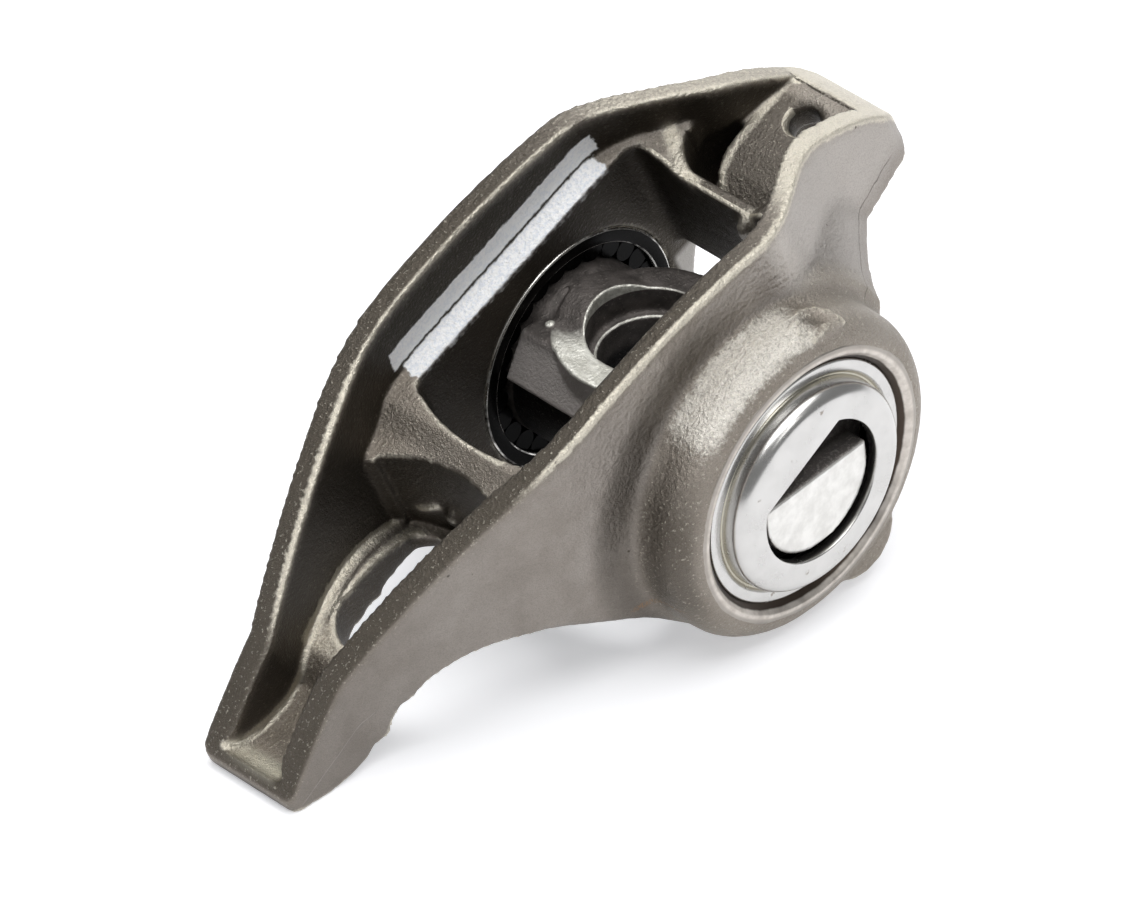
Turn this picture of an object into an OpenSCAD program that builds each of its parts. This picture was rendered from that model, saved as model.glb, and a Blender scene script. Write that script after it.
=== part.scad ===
// Engine rocker arm: a cast trough with a valve pad at one end and a pushrod cup at the other.
// It turns on a trunnion that runs in two needle bearings and is held down by one bolt.
// The origin is the middle of the trunnion's axis. +X points to the pushrod cup, Y is the trunnion's
// axis and +Z is up from the table on which the arm rests. The casting is drawn level, in its own
// directions (along, across, up), and is then tilted until its pad and its two bosses touch the table.

/* [Casting] */
// Tilt of the casting as it lies on the table, in degrees
rest_tilt = 24; // [22:0.5:26]
// From the trunnion's axis to the valve end
tip_len = 46.2; // [45:0.1:48]
// From the trunnion's axis to the pushrod end
nose_len = 28; // [27.4:0.1:29.5]
// Half of the width outside the walls at the window
body_half_w = 11.7; // [11.4:0.1:12.6]
// Where the walls stop flaring evenly and start to bend, from the axis
flare_bend = 20.7; // [19:0.1:23]
// Half of the width at the valve end
tip_half_w = 4.9; // [4.6:0.1:5.4]
// Half of the width at the neck behind the bosses
neck_half_w = 5.9; // [5.7:0.1:6.6]
// Half of the width at the pushrod end
nose_half_w = 4.9; // [4.6:0.1:5.4]
// Thickness of the side walls
wall = 1.65; // [1.4:0.05:1.9]
// Thickness of the floor between the valve pad and the window
floor_t = 1.6; // [1.3:0.1:2.2]

/* [Rim] */
// Height of the rim's crown above the axis
crown_h = 20.25; // [19.5:0.05:21.5]
// How far the crown stands in front of the axis
crown_pos = 6.5; // [5:0.5:8]
// Radius of the rim from the crown to the valve end
rim_front_r = 65.2; // [62:0.1:70]
// Radius of the rim from the crown towards the pushrod end
rim_back_r = 68; // [62:1:80]
// Where the rim turns down to the pushrod end
rim_turn = 16.6; // [15:0.1:18]

/* [Window] */
// From the axis to the front edge of the window, at its middle
win_front = 16; // [15:0.1:16.5]
// How far the front edge is bowed out at its middle
win_bow = 1.4; // [0.8:0.1:2]
// From the axis to the back edge of the window
win_back = 12.2; // [11.6:0.1:12.6]
// Half of the window's width
win_half_w = 8.1; // [7.9:0.1:8.6]
// Radius of the window's corners
win_corner = 1.2; // [0.8:0.1:2]
// Height of the ledges beside the window
deck_h = 13.4; // [13:0.1:14.2]
// From the axis to the back end of the ledges
deck_back = 16.7; // [16:0.1:17.2]
// Thickness of the front bar at its middle
front_bar_t = 2.2; // [1.6:0.1:3]
// Radius of the trough's round end at the front bar
trough_end_r = 12.7; // [11.5:0.1:16]
// Thickness of the thin bar behind the window
back_bar_t = 1.1; // [0.9:0.1:1.4]
// Height of the thin bar's top edge
back_bar_h = 11.4; // [10.8:0.1:12]
// Height of the thin bar's lower edge
back_bar_low = 0.2; // [-0.5:0.1:1]

/* [Floor slot] */
// Radius of the slot's round end
slot_tip_r = 3.9; // [3.4:0.1:4.2]
// Half of the slot's width at the front bar
slot_half_w = 5.7; // [4.8:0.1:6]
// From the axis to the slot's round end
slot_tip = 33.3; // [32.5:0.1:34]
// From the axis to the slot's end at the window
slot_end = 20.3; // [20:0.1:23]
// How far the floor is thickened below, round the slot
slot_bead = 0.9; // [0.4:0.1:1.2]

/* [Valve pad] */
// From the axis to the middle of the pad
pad_pos = 38.7; // [38:0.1:40.5]
// Radius of the pad's curved face
pad_r = 12; // [11:0.5:15]
// Thickness of the pad
pad_t = 1.9; // [1.6:0.1:2.3]
// Half of the pad's length, to the step behind it
pad_half_len = 2.7; // [2.4:0.1:4]
// Height of the small lip across the valve end
lip_t = 0.9; // [0.7:0.1:1.2]

/* [Pushrod cup] */
// From the axis to the middle of the cup
cup_pos = 22.3; // [21.8:0.1:22.8]
// Height of the flat top of the cup's boss
cup_top = 9.5; // [9.2:0.1:10]
// Radius of the round end of the cup's boss
cup_boss_r = 3.9; // [3.6:0.1:4.1]
// How far that round end's centre lies in front of the cup
cup_boss_len = 4.8; // [4.3:0.1:5]
// Height of the flat underside at the cup
cup_low = 2.3; // [2:0.1:2.8]
// Radius of the ball seat
seat_r = 4; // [3.6:0.05:4.1]
// Depth of the ball seat's centre above the underside
seat_up = 0.9; // [0.6:0.1:1.2]
// Radius of the oil hole above the seat
oil_r = 1.35; // [1:0.05:1.6]
// Width of the chamfer round the oil hole
oil_chamfer = 0.45; // [0.2:0.05:0.6]
// Height of the pockets' floor beside the cup's boss
pocket_low = 4.6; // [4:0.1:6]

/* [Bosses] */
// Radius of the two trunnion bosses
boss_r = 14.04; // [13.8:0.02:14.6]
// From the middle of the arm to the outer faces of the bosses
boss_face = 16.85; // [16.5:0.05:17.2]
// Radius of the round on the bosses' outer edges
boss_round = 2.67; // [1.5:0.01:2.9]
// Radius of the collars inside the walls
collar_r = 12.1; // [11.7:0.1:12.6]
// Width of the chamfer at the mouth of each bore
mouth_chamfer = 0.76; // [0.4:0.02:1]
// Radius of the hollow round where each boss leaves the wall
boss_fillet = 1.3; // [0.8:0.1:1.8]
// Radius of the small casting lug below each boss
lug_r = 3.6; // [3:0.1:4]
// How far the lug stands out of the boss
lug_out = 1.1; // [0.8:0.05:2.1]

/* [Bearings] */
// Outer radius of each bearing shell, which is pressed into the boss
shell_r = 10.5; // [10.2:0.05:10.7]
// Thickness of the shell
shell_t = 1; // [0.9:0.05:1.1]
// How far the shell's rim stays inside the boss's face
shell_in = 0.54; // [0.3:0.02:0.8]
// How far the raised end stands out of the shell's rim
plateau_h = 1.81; // [1.5:0.01:2.1]
// Radius of the raised end
plateau_r = 9; // [8.8:0.05:9.1]
// Radius of the raised end's round edge
plateau_round = 1.1; // [0.8:0.05:1.3]
// Width of the fine groove round the raised end
groove_w = 0.35; // [0.2:0.05:0.4]
// Radius of the half-moon opening in the raised end
eye_r = 6.17; // [6:0.01:6.4]
// From the axis to the flat side of that opening
eye_flat = 4.1; // [3.9:0.1:4.3]
// Direction of the flat side in the casting, in degrees
eye_turn = 98; // [94:1:102]
// Height of the shell's inner lip over the needles
shell_lip = 0.35; // [0.2:0.05:0.5]
// Radius of a needle with its running play taken off
needle_r = 0.98; // [0.96:0.005:0.985]
// Radial play between a needle and each of its tracks
needle_play = 0.02; // [0.01:0.005:0.03]
// Number of needles in each bearing
needle_count = 26; // [20:1:26]
// End play of the needles in the shell, at each end
needle_end_play = 0.12; // [0.05:0.01:0.3]

/* [Trunnion] */
// Turn of the trunnion as the arm lies on the table, in degrees
trunnion_turn = -6.17; // [-7:0.1:-3]
// Height of the block's flat top above the axis
block_h = 6.34; // [6:0.02:6.6]
// From the bolt's axis to the block's front edge at the top
block_front = 6.1; // [5.8:0.1:6.4]
// How far the sloping front face reaches at its foot
block_foot = 8.3; // [7.8:0.1:8.6]
// Height of the sloping front face's foot above the axis
block_foot_h = 2.7; // [2.2:0.1:3.2]
// Radius of the block's round back about the bolt
block_back_r = 7.6; // [7.55:0.05:7.8]
// Side play between the block and the bearing shells
block_play = 0.2; // [0.1:0.05:0.4]
// From the axis down to the flat seat under the block
seat_low = 6; // [5.6:0.1:6.4]
// Radius of the bolt's clearance hole
bolt_r = 4.2; // [4.1:0.05:4.4]
// Radius of the recess round the bolt hole
recess_r = 4.94; // [4.7:0.02:5.2]
// Depth of that recess
recess_d = 2.3; // [1.5:0.1:2.6]
// Radius of the machined land under the bolt's head
land_r = 7.5; // [7:0.1:7.5]
// Height of the machined land over the cast top
land_h = 0.15; // [0.1:0.05:0.25]
// Radius of the two half-moon ends
stub_r = 5.6; // [5.3:0.05:5.8]
// From the axis to the flat on each end
stub_flat = 1.3; // [1:0.1:1.8]
// How far each end stays inside the shell's raised end
stub_in = 0.52; // [0.3:0.02:0.8]

/* [Hidden] */
$fn = 96;
needle_numbers = [for (i = [1:needle_count]) i];

// A point of the table in the casting's directions, at a distance along it
function table_at(s) = (-boss_r - s * sin(rest_tilt)) / cos(rest_tilt);
// The pad's centre: its round face touches the table where the face is level
pad_cx = -pad_pos;
pad_cz = table_at(pad_cx - pad_r * sin(rest_tilt)) + pad_r * cos(rest_tilt);
pad_back = pad_cx + pad_half_len;
under_h = pad_cz - pad_r + 2.7;
// The underside's corners below the axis, inside the bosses' round
boss_under = boss_r * 0.68;
hollow_cx = pad_cx - 1;
hollow_cz = pad_cz + 0.4;

// The walls flare evenly from the tip, bend and then run level along the window
flare_start = pad_pos - 0.9;
flare_end = win_front - 5;
flare_slope = (body_half_w - tip_half_w)
    / (flare_start - flare_bend + (flare_bend - flare_end) / 2);
neck_start = win_back - 4.2;
neck_end = deck_back + 4.1;

shell_face = boss_face - shell_in;
plateau_face = shell_face + plateau_h;
race_r = shell_r - shell_t;
pitch_r = race_r - needle_play - needle_r;
journal_r = pitch_r - needle_r - needle_play;
shell_floor = shell_face - shell_t;
lip_end = win_half_w + 0.45;
needle_y0 = lip_end + needle_end_play;
needle_y1 = shell_floor - needle_end_play;
journal_end = shell_floor - 0.2;
stub_end = plateau_face - stub_in;
block_half_w = win_half_w - block_play;

function needle_name(side, i) = str("needle_", side, "_", i < 10 ? "0" : "", i);
function ease(u) = u * u * (3 - 2 * u);
function mirrored(points) = [for (i = [len(points) - 1:-1:0]) [points[i][0], -points[i][1]]];
function arc(c, r, a0, a1, n) =
    [for (i = [0:n]) let (a = a0 + (a1 - a0) * i / n) [c[0] + r * cos(a), c[1] + r * sin(a)]];
function bezier(p0, p1, p2, p3, n) =
    [for (i = [0:n]) let (u = i / n, v = 1 - u)
        v * v * v * p0 + 3 * v * v * u * p1 + 3 * v * u * u * p2 + u * u * u * p3];
// Height of the rim over the axis, on its two long arcs
function rim_at(s) = s < -crown_pos
    ? crown_h - rim_front_r + sqrt(rim_front_r * rim_front_r - (s + crown_pos) * (s + crown_pos))
    : crown_h - rim_back_r + sqrt(rim_back_r * rim_back_r - (s + crown_pos) * (s + crown_pos));
function spaced(a, b, n) = [for (i = [0:n]) a + (b - a) * i / n];

// One side of the plan from the tip to the nose, drawn in by a thickness
function plan_side(inset, from, to, corner) = concat(
    arc([from + corner, tip_half_w - inset - corner], corner, 180, 90, 3),
    [[-flare_start, tip_half_w - inset]],
    [for (u = spaced(0, 1, 5))
        let (s = -flare_bend + (flare_bend - flare_end) * u)
        [s, tip_half_w - inset + flare_slope
            * (flare_start - flare_bend + (flare_bend - flare_end) * (u - u * u / 2))]],
    [for (u = spaced(0, 1, 9))
        [neck_start + (neck_end - neck_start) * u,
            body_half_w - inset - (body_half_w - neck_half_w) * ease(u)]],
    arc([to - corner * 3.2, nose_half_w - inset - corner * 3.2], corner * 3.2, 90, 0, 5)
);
function plan(inset, from, to, corner) =
    let (side = plan_side(inset, from, to, corner)) concat(side, mirrored(side));

// The underside from behind the pad to the bosses
function under_curve(n) = bezier([-30.5, under_h], [-26, under_h], [-22, 2.2], [-18.5, -1.2], n);

// The casting seen from the side: pad, step, underside, boss, neck, nose and rim
function side_outline() = concat(
    [[-tip_len, rim_at(-tip_len)]],
    arc([pad_cx, pad_cz], pad_r, -90 - asin((tip_len - pad_pos) / pad_r), -90 + asin(pad_half_len / pad_r), 8),
    [[pad_back + 0.5, under_h - 0.9], [pad_back + 1.4, under_h]],
    under_curve(6),
    [[-boss_under, -boss_under], [boss_under, -boss_under]],
    [[boss_r * 0.96, -boss_r * 0.15]],
    arc([boss_r * cos(9) + 3.2, cup_low - 3], 3, 170, 90, 4),
    arc([nose_len - 2, cup_low + 2], 2, -90, -15, 4),
    bezier([nose_len, cup_low + 2.2], [nose_len, 8.2], [21.2, rim_at(rim_turn) - 2.2],
        [rim_turn, rim_at(rim_turn)], 10),
    [for (s = spaced(rim_turn - 3.5, -crown_pos, 6)) [s, rim_at(s)]],
    [for (s = spaced(-crown_pos - 3, -tip_len + 2.5, 10)) [s, rim_at(s)]]
);

// What the trough and the deck leave open above them, seen from the side
function trough_outline() = concat(
    arc([hollow_cx, hollow_cz], pad_r - pad_t, -90 - asin((tip_len - lip_t + hollow_cx) / (pad_r - pad_t)),
        -90 + asin(2.2 / (pad_r - pad_t)), 7),
    bezier([pad_back - 1, under_h + floor_t - 1.9], [pad_back - 0.2, under_h + floor_t - 1],
        [pad_back + 0.3, under_h + floor_t], [pad_back + 2, under_h + floor_t], 4),
    bezier([-30.5, under_h + floor_t], [-26, under_h + floor_t], [-22, 2.6 + floor_t],
        [-18.5, -0.6 + floor_t], 6),
    [[-win_front, deck_h - 1], [-win_front, deck_h + 20], [-tip_len + lip_t, deck_h + 20]]
);

// A flat shape in (along, up) made solid between two distances across
module across(y0, y1) rotate([90, 0, 0]) translate([0, 0, -y1]) linear_extrude(y1 - y0) children();
// A ring about the trunnion's axis, from a shape in (radius, across)
module around_axis() rotate([-90, 0, 0]) rotate_extrude() children();
module both_sides() {
    children();
    mirror([0, 1, 0]) children();
}

// The soft sweep of each wall into its boss
module boss_sweep() around_axis() polygon(concat(
    [[boss_r - 3, 4], [boss_r + 7.2, 4], [boss_r + 6.6, neck_half_w]],
    bezier([boss_r + 6.6, neck_half_w], [boss_r + 3.8, 8.4], [boss_r + 1.9, body_half_w - 1.4],
        [boss_r + boss_fillet, body_half_w], 5),
    arc([boss_r + boss_fillet, body_half_w + boss_fillet], boss_fillet, -90, -180, 4),
    [[boss_r - 3, body_half_w + boss_fillet]]
));

module walls_and_floor() difference() {
    intersection() {
        union() {
            translate([0, 0, -boss_r - 2]) linear_extrude(crown_h + boss_r + 4)
                polygon(plan(0, -tip_len, nose_len, 0.8));
            both_sides() boss_sweep();
        }
        across(-body_half_w - 3, body_half_w + 3) polygon(side_outline());
    }
    // The trough from the tip to the front bar
    intersection() {
        translate([0, 0, -5]) linear_extrude(crown_h + 10)
            polygon(plan(wall, -tip_len + lip_t, nose_len, 0.3));
        translate([0, 0, -5]) linear_extrude(crown_h + 10) union() {
            translate([-win_front - front_bar_t - trough_end_r, 0]) circle(trough_end_r);
            translate([-tip_len - 1, -body_half_w])
                square([tip_len + 1 - win_front - front_bar_t - trough_end_r, body_half_w * 2]);
        }
        across(-body_half_w, body_half_w) polygon(trough_outline());
    }
    // All that is open above the deck, with the shelves that fall to the thin bar
    intersection() {
        translate([0, 0, 0]) linear_extrude(crown_h + 10)
            polygon(plan(wall, -tip_len + lip_t, nose_len - 1, 0.3));
        union() {
            across(-body_half_w, body_half_w) polygon([
                [-win_front - front_bar_t - 5, deck_h - 1.6], [-win_front - front_bar_t, deck_h - 1.1],
                [-win_front - 0.3, deck_h], [win_back + 1, deck_h], [deck_back, deck_h],
                [deck_back, crown_h + 9], [-win_front - front_bar_t - 5, crown_h + 9]
            ]);
            translate([win_back - 1.5, 0, 0]) rotate([90, 0, 90]) linear_extrude(deck_back - win_back + 1.5)
                polygon([
                    [-win_half_w, deck_h], [-5, deck_h - 0.8], [-3.7, back_bar_h], [3.7, back_bar_h],
                    [5, deck_h - 0.8], [win_half_w, deck_h], [win_half_w, crown_h], [-win_half_w, crown_h]
                ]);
        }
    }
    // The hollow behind the thin bar, with the cup's boss left standing in it
    intersection() {
        translate([0, 0, pocket_low]) linear_extrude(crown_h + 5)
            polygon(plan(wall, -tip_len + lip_t, nose_len - 1.6, 0.3));
        difference() {
            translate([0, 0, pocket_low]) linear_extrude(crown_h) polygon(let (x = win_back + back_bar_t)
                concat([[x, -3.1], [x, 3.1]], bezier([x, 3.1], [x + 0.2, 4.6], [x + 1.2, 5.2], [x + 3.2, 5.6], 4),
                    [[deck_back + 0.6, 8], [nose_len, 8], [nose_len, -8], [deck_back + 0.6, -8]],
                    bezier([x + 3.2, -5.6], [x + 1.2, -5.2], [x + 0.2, -4.6], [x, -3.1], 4)));
            cup_boss();
        }
    }
}

// The slot through the floor widens with the walls from its round end
module floor_slot(grown) {
    translate([-slot_tip + slot_tip_r, 0]) circle(slot_tip_r + grown);
    polygon([
        [-slot_tip + slot_tip_r, -slot_tip_r - grown], [-slot_end - 1, -slot_half_w - grown],
        [-slot_end, -slot_half_w + 1 - grown], [-slot_end, slot_half_w - 1 + grown],
        [-slot_end - 1, slot_half_w + grown], [-slot_tip + slot_tip_r, slot_tip_r + grown]
    ]);
}
// The bead that stiffens the floor round the slot, on its underside
module slot_rim() intersection() {
    translate([0, 0, -6]) linear_extrude(deck_h + 4) floor_slot(1.5);
    across(-body_half_w, body_half_w) polygon(concat(
        [[-slot_tip - 3, under_h + 0.3], [-slot_tip - 0.8, under_h - slot_bead]],
        [for (p = under_curve(6)) p - [0, slot_bead]],
        [[-18.5, 0.5]],
        [for (i = [6:-1:0]) under_curve(6)[i] + [0, 0.3]]
    ));
}

// The boss round the ball seat: its round end faces the window
module cup_boss() intersection() {
    union() {
        translate([cup_pos - cup_boss_len, 0, 0]) cylinder(r = cup_boss_r, h = cup_top);
        translate([cup_pos - cup_boss_len, -cup_boss_r, 0])
            cube([nose_len - cup_pos + cup_boss_len, cup_boss_r * 2, cup_top]);
        translate([cup_pos - 0.5, -neck_half_w, 0]) cube([6, neck_half_w * 2, cup_top]);
    }
    // The top falls away softly above the round end
    across(-body_half_w, body_half_w) polygon([
        [cup_pos - cup_boss_len - cup_boss_r, -1], [nose_len, -1], [nose_len, cup_top + 1],
        [cup_pos - cup_boss_len + 0.6, cup_top + 1], [cup_pos - cup_boss_len + 0.6, cup_top],
        [cup_pos - cup_boss_len - 1.6, cup_top - 0.5],
        [cup_pos - cup_boss_len - cup_boss_r + 0.4, cup_top - 1.6],
        [cup_pos - cup_boss_len - cup_boss_r, cup_top - 2.6]
    ]);
}

module window() translate([0, 0, -boss_r - 4]) linear_extrude(boss_r + crown_h + 12) {
    translate([-win_front + win_bow, -win_half_w + win_corner])
        square([win_front - win_bow + win_back, (win_half_w - win_corner) * 2]);
    translate([-win_front + win_bow + win_corner, -win_half_w])
        square([win_front - win_bow + win_back - win_corner * 2, win_half_w * 2]);
    for (x = [-win_front + win_bow + win_corner, win_back - win_corner], m = [-1, 1])
        translate([x, m * (win_half_w - win_corner)]) circle(win_corner, $fn = 32);
    // The bowed front edge
    intersection() {
        translate([bow_r - win_front, 0]) circle(bow_r);
        translate([-win_front - 1, -bow_half]) square([win_bow + 2, bow_half * 2]);
    }
}
bow_half = win_half_w - win_corner;
bow_r = (bow_half * bow_half + win_bow * win_bow) / (2 * win_bow);

module bosses() both_sides() {
    around_axis() polygon(concat(
        [[0, win_half_w], [collar_r, win_half_w], [collar_r, body_half_w - 1], [boss_r, body_half_w - 1]],
        arc([boss_r - boss_round, boss_face - boss_round], boss_round, 0, 90, 8),
        [[0, boss_face]]
    ));
    across(boss_face - 2.9, boss_face - 0.6)
        translate((boss_r + lug_out - lug_r) * [cos(79), -sin(79)]) circle(lug_r);
}

module arm_body() color([0.42, 0.39, 0.35]) rotate([0, -rest_tilt, 0]) difference() {
    union() {
        walls_and_floor();
        slot_rim();
        bosses();
    }
    window();
    // The underside is open behind the window as well, up to the thin bar's lower edge
    across(-win_half_w, win_half_w) polygon([
        [win_back - 2, -boss_r - 2], [win_back - 2, back_bar_low], [win_back + 1.5, back_bar_low],
        [deck_back - 0.4, cup_low], [deck_back - 0.4, -boss_r - 2]
    ]);
    translate([0, 0, -6]) linear_extrude(deck_h + 4) floor_slot(0);
    // The bores, with chamfered mouths
    both_sides() around_axis() polygon([
        [0, win_half_w - 1], [shell_r, win_half_w - 1], [shell_r, boss_face - mouth_chamfer],
        [shell_r + mouth_chamfer, boss_face], [shell_r + mouth_chamfer, boss_face + 1], [0, boss_face + 1]
    ]);
    // The ball seat and its oil hole
    translate([cup_pos, 0, cup_low + seat_up]) sphere(seat_r);
    translate([cup_pos, 0, cup_low - 1]) cylinder(r = seat_r, h = seat_up + 1);
    translate([cup_pos, 0, cup_low]) cylinder(r = oil_r, h = cup_top);
    translate([cup_pos, 0, cup_top - oil_chamfer])
        rotate_extrude() polygon([[0, 0], [oil_r, 0], [oil_r + oil_chamfer + 0.1, oil_chamfer + 0.1],
            [0, oil_chamfer + 0.1]]);
}

// A bearing shell drawn from one sheet, with a raised half-moon end
module bearing_shell() rotate([0, -rest_tilt, 0]) difference() {
    around_axis() polygon(concat(
        [[shell_r, win_half_w], [shell_r, shell_face - 0.15], [shell_r - 0.15, shell_face],
            [plateau_r + groove_w, shell_face], [plateau_r + groove_w, shell_face - 0.3],
            [plateau_r, shell_face - 0.3]],
        arc([plateau_r - plateau_round, plateau_face - plateau_round], plateau_round, 0, 90, 6),
        [[0, plateau_face], [0, plateau_face - shell_t], [plateau_r - 2, plateau_face - shell_t],
            [plateau_r - 1.2, plateau_face - shell_t - 0.8], [plateau_r - 1.2, shell_floor],
            [race_r, shell_floor], [race_r, lip_end], [race_r - shell_lip, lip_end],
            [race_r - shell_lip, win_half_w]]
    ));
    across(shell_floor, plateau_face + 1) intersection() {
        circle(eye_r);
        rotate(eye_turn - 90) translate([-eye_r - 1, -eye_r - 1]) square([eye_r * 2 + 2, eye_r + 1 + eye_flat]);
    }
}
module bearing_shell_near() color([0.78, 0.79, 0.8]) mirror([0, 1, 0]) bearing_shell();
module bearing_shell_far() color([0.78, 0.79, 0.8]) bearing_shell();

module needle(side, i) color([0.85, 0.86, 0.88])
    rotate([0, (i - 0.5) * 360 / needle_count, 0]) translate([pitch_r, side > 0 ? needle_y0 : -needle_y1, 0])
        rotate([-90, 0, 0]) cylinder(r = needle_r, h = needle_y1 - needle_y0, $fn = 24);

module trunnion() color([0.24, 0.24, 0.25]) rotate([0, trunnion_turn, 0]) difference() {
    union() {
        across(-journal_end, journal_end) circle(journal_r);
        // The block between the bearings, with its sloping front and its round back
        across(-block_half_w, block_half_w) polygon([
            [-block_front, block_h], [-block_foot, block_foot_h], [-block_foot + 0.9, block_foot_h - 0.8],
            [-journal_r + 0.6, -2], [0, -2], [0, block_h]
        ]);
        intersection() {
            translate([0, 0, -2]) cylinder(r = block_back_r, h = block_h + 2);
            translate([-1, -block_half_w, -2]) cube([block_back_r + 2, block_half_w * 2, block_h + 2]);
        }
        intersection() {
            translate([0, 0, 0]) cylinder(r = land_r, h = block_h + land_h);
            translate([-land_r, -block_half_w, 0]) cube([land_r * 2, block_half_w * 2, block_h + land_h]);
        }
        across(-stub_end, stub_end) circle(stub_r);
    }
    // The flat top outside the land, and the flat seat below
    translate([-block_foot - 1, -block_half_w, block_h]) difference() {
        cube([block_foot * 2 + 2, block_half_w * 2, 6]);
        translate([block_foot + 1, block_half_w, -1]) cylinder(r = land_r, h = 8);
    }
    translate([-block_foot - 1, -block_half_w, -journal_r - 4])
        cube([block_foot * 2 + 2, block_half_w * 2, journal_r + 4 - seat_low]);
    // The flats of the two ends
    both_sides() translate([-stub_r - 3, journal_end, stub_flat]) cube([stub_r * 2 + 6, 6, stub_r * 2]);
    // The bolt hole and its recess
    translate([0, 0, -journal_r - 4]) cylinder(r = bolt_r, h = journal_r + block_h + 8);
    translate([0, 0, block_h + land_h - recess_d]) cylinder(r = recess_r, h = recess_d + 2);
}

arm_body();
bearing_shell_near();
bearing_shell_far();
trunnion();
for (i = needle_numbers) {
    needle(-1, i);
    needle(1, i);
}
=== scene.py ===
import math

import bmesh
import bpy
import numpy as np
from mathutils import Matrix, Vector, noise


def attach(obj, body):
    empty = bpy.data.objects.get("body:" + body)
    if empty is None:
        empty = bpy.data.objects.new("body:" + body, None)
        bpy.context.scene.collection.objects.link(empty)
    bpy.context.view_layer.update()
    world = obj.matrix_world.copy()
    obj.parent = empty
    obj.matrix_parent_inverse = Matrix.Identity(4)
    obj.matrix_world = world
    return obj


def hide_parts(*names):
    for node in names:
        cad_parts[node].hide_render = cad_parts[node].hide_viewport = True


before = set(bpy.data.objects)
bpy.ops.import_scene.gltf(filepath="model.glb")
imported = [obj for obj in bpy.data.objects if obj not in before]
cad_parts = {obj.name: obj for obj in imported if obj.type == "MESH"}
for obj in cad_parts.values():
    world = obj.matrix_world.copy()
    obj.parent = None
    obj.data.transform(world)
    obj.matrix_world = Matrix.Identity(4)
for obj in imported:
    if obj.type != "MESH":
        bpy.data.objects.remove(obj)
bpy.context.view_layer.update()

bl_info = {
    "name": "Rocker arm dressing",
    "version": (1, 0, 0),
    "blender": (4, 5, 0),
    "location": "View3D > Sidebar > Rocker arm",
    "description": "Builds the cast arm, its bearings, its trunnion and the studio round them",
    "category": "Object",
}

MM = 0.001
# The casting is tilted about the trunnion's axis. These are its directions in the model's frame
TILT = math.radians(24)
ALONG = (math.cos(TILT), 0.0, math.sin(TILT))
ACROSS = (0.0, 1.0, 0.0)
UP = (-math.sin(TILT), 0.0, math.cos(TILT))
TRUNNION_TURN = math.radians(-6.17)
FLOOR_Z = -14.04
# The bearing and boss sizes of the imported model, in millimetres
BORE_R = 10.5
BOSS_FACE = 16.85
MOUTH = 0.76
SHELL_FACE = 16.31
PLATEAU_FACE = 18.12
PLATEAU_R = 9.0
RACE_R = 9.5
EYE_R = 6.17
EYE_FLAT = 4.1
LIP_END = 8.55
INNER_FACE = 8.1
JOURNAL_R = 7.5
BLOCK_TOP = 6.34
RECESS_R = 4.94
BOLT_R = 4.2
RECESS_FLOOR = 4.19
# How far a smoothing pass moves a vertex to the mean of its neighbours, and then back from it
RELAX_IN, RELAX_OUT = 0.55, 0.575
# A small bright drop of metal on the block's top
DROP = (-4.33, 6.5)
# Half of the casting's width outside its walls, and the height of the walls' lower edge and of the
# nose's rim, at distances along it
WIDTH_AT = (-37.8, -20.7, -18.3, -15.85, -13.4, -11.0, 8.0, 11.2, 14.4, 17.6, 20.8, 25.4)
WIDTH = (4.9, 10.2, 10.85, 11.32, 11.6, 11.7, 11.7, 10.79, 8.8, 6.81, 5.9, 4.9)
UNDER_AT = (-34.6, -30.5, -28.83, -27.22, -25.66, -24.13, -22.66, -21.22, -19.84, -18.5, -9.55)
UNDER = (5.7, 5.7, 5.54, 5.1, 4.41, 3.52, 2.48, 1.31, 0.08, -1.2, -9.55)
NOSE_AT = (16.6, 20.32, 24.03, 26.87, 28.0)
NOSE_RIM = (16.21, 13.97, 10.92, 7.58, 4.5)
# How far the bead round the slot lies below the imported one, at distances along it
BEAD_AT = (-30.4, -28.1, -26.6, -25.0, -22.4, -20.0)
BEAD_SINK = (1.1, 1.05, 1.3, 0.75, -0.45, -1.3)
# Lines on the casting (along, across, up): the seam in the pad's corner, the ridge of the cup's boss,
# the bar's edge on the window, the shelf's fold and the lumps on the thin bar and at the slot's end
SEAM = [(-45.0, 3.05, 7.2), (-43.0, 3.12, 6.35), (-41.0, 3.2, 5.85), (-39.0, 3.3, 5.75),
        (-37.0, 3.6, 6.3), (-35.2, 4.0, 7.1)]
CUP_RIDGE = [(25.2, 3.5, 9.35), (22.0, 3.45, 9.3), (20.0, 3.45, 9.3), (17.5, 3.4, 9.15),
             (15.5, 3.1, 8.65), (14.5, 2.45, 7.95), (13.8, 1.25, 7.3), (13.75, -0.3, 7.2)]
BAR_EDGE = [(-13.8, 7.9, 13.3), (-14.7, 6.4, 13.4), (-15.5, 4.0, 13.4), (-15.95, 1.0, 13.4),
            (-16.0, -3.0, 13.4)]
SHELF_FOLD = [(14.7, 6.4, 12.9), (13.9, 5.2, 12.6), (12.9, 4.0, 11.7), (12.7, 2.6, 11.4)]
CHUNK = [(12.3, -2.3, 7.6), (12.05, -2.75, 8.8), (12.0, -3.2, 10.2), (12.3, -3.6, 11.2)]
NIB = [(-19.6, 5.9, 4.8), (-19.25, 5.2, 5.0), (-18.9, 4.4, 5.4)]
# Each line of painted highlight, with how far it reaches round its path, in mm, and how bright it is
HIGHLIGHT_LINES = ((SEAM, 0.45, 1.2), (CUP_RIDGE, 0.5, 1.15), (BAR_EDGE, 0.42, 0.85),
                (SHELF_FOLD, 0.8, 0.72), (CHUNK, 0.9, 0.7), (NIB, 0.5, 0.75))
# The hollow in the triangular mark on the near boss
MARK_HOLLOW = [(7.0, -14.5, 12.1), (7.4, -15.3, 11.6)]
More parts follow.
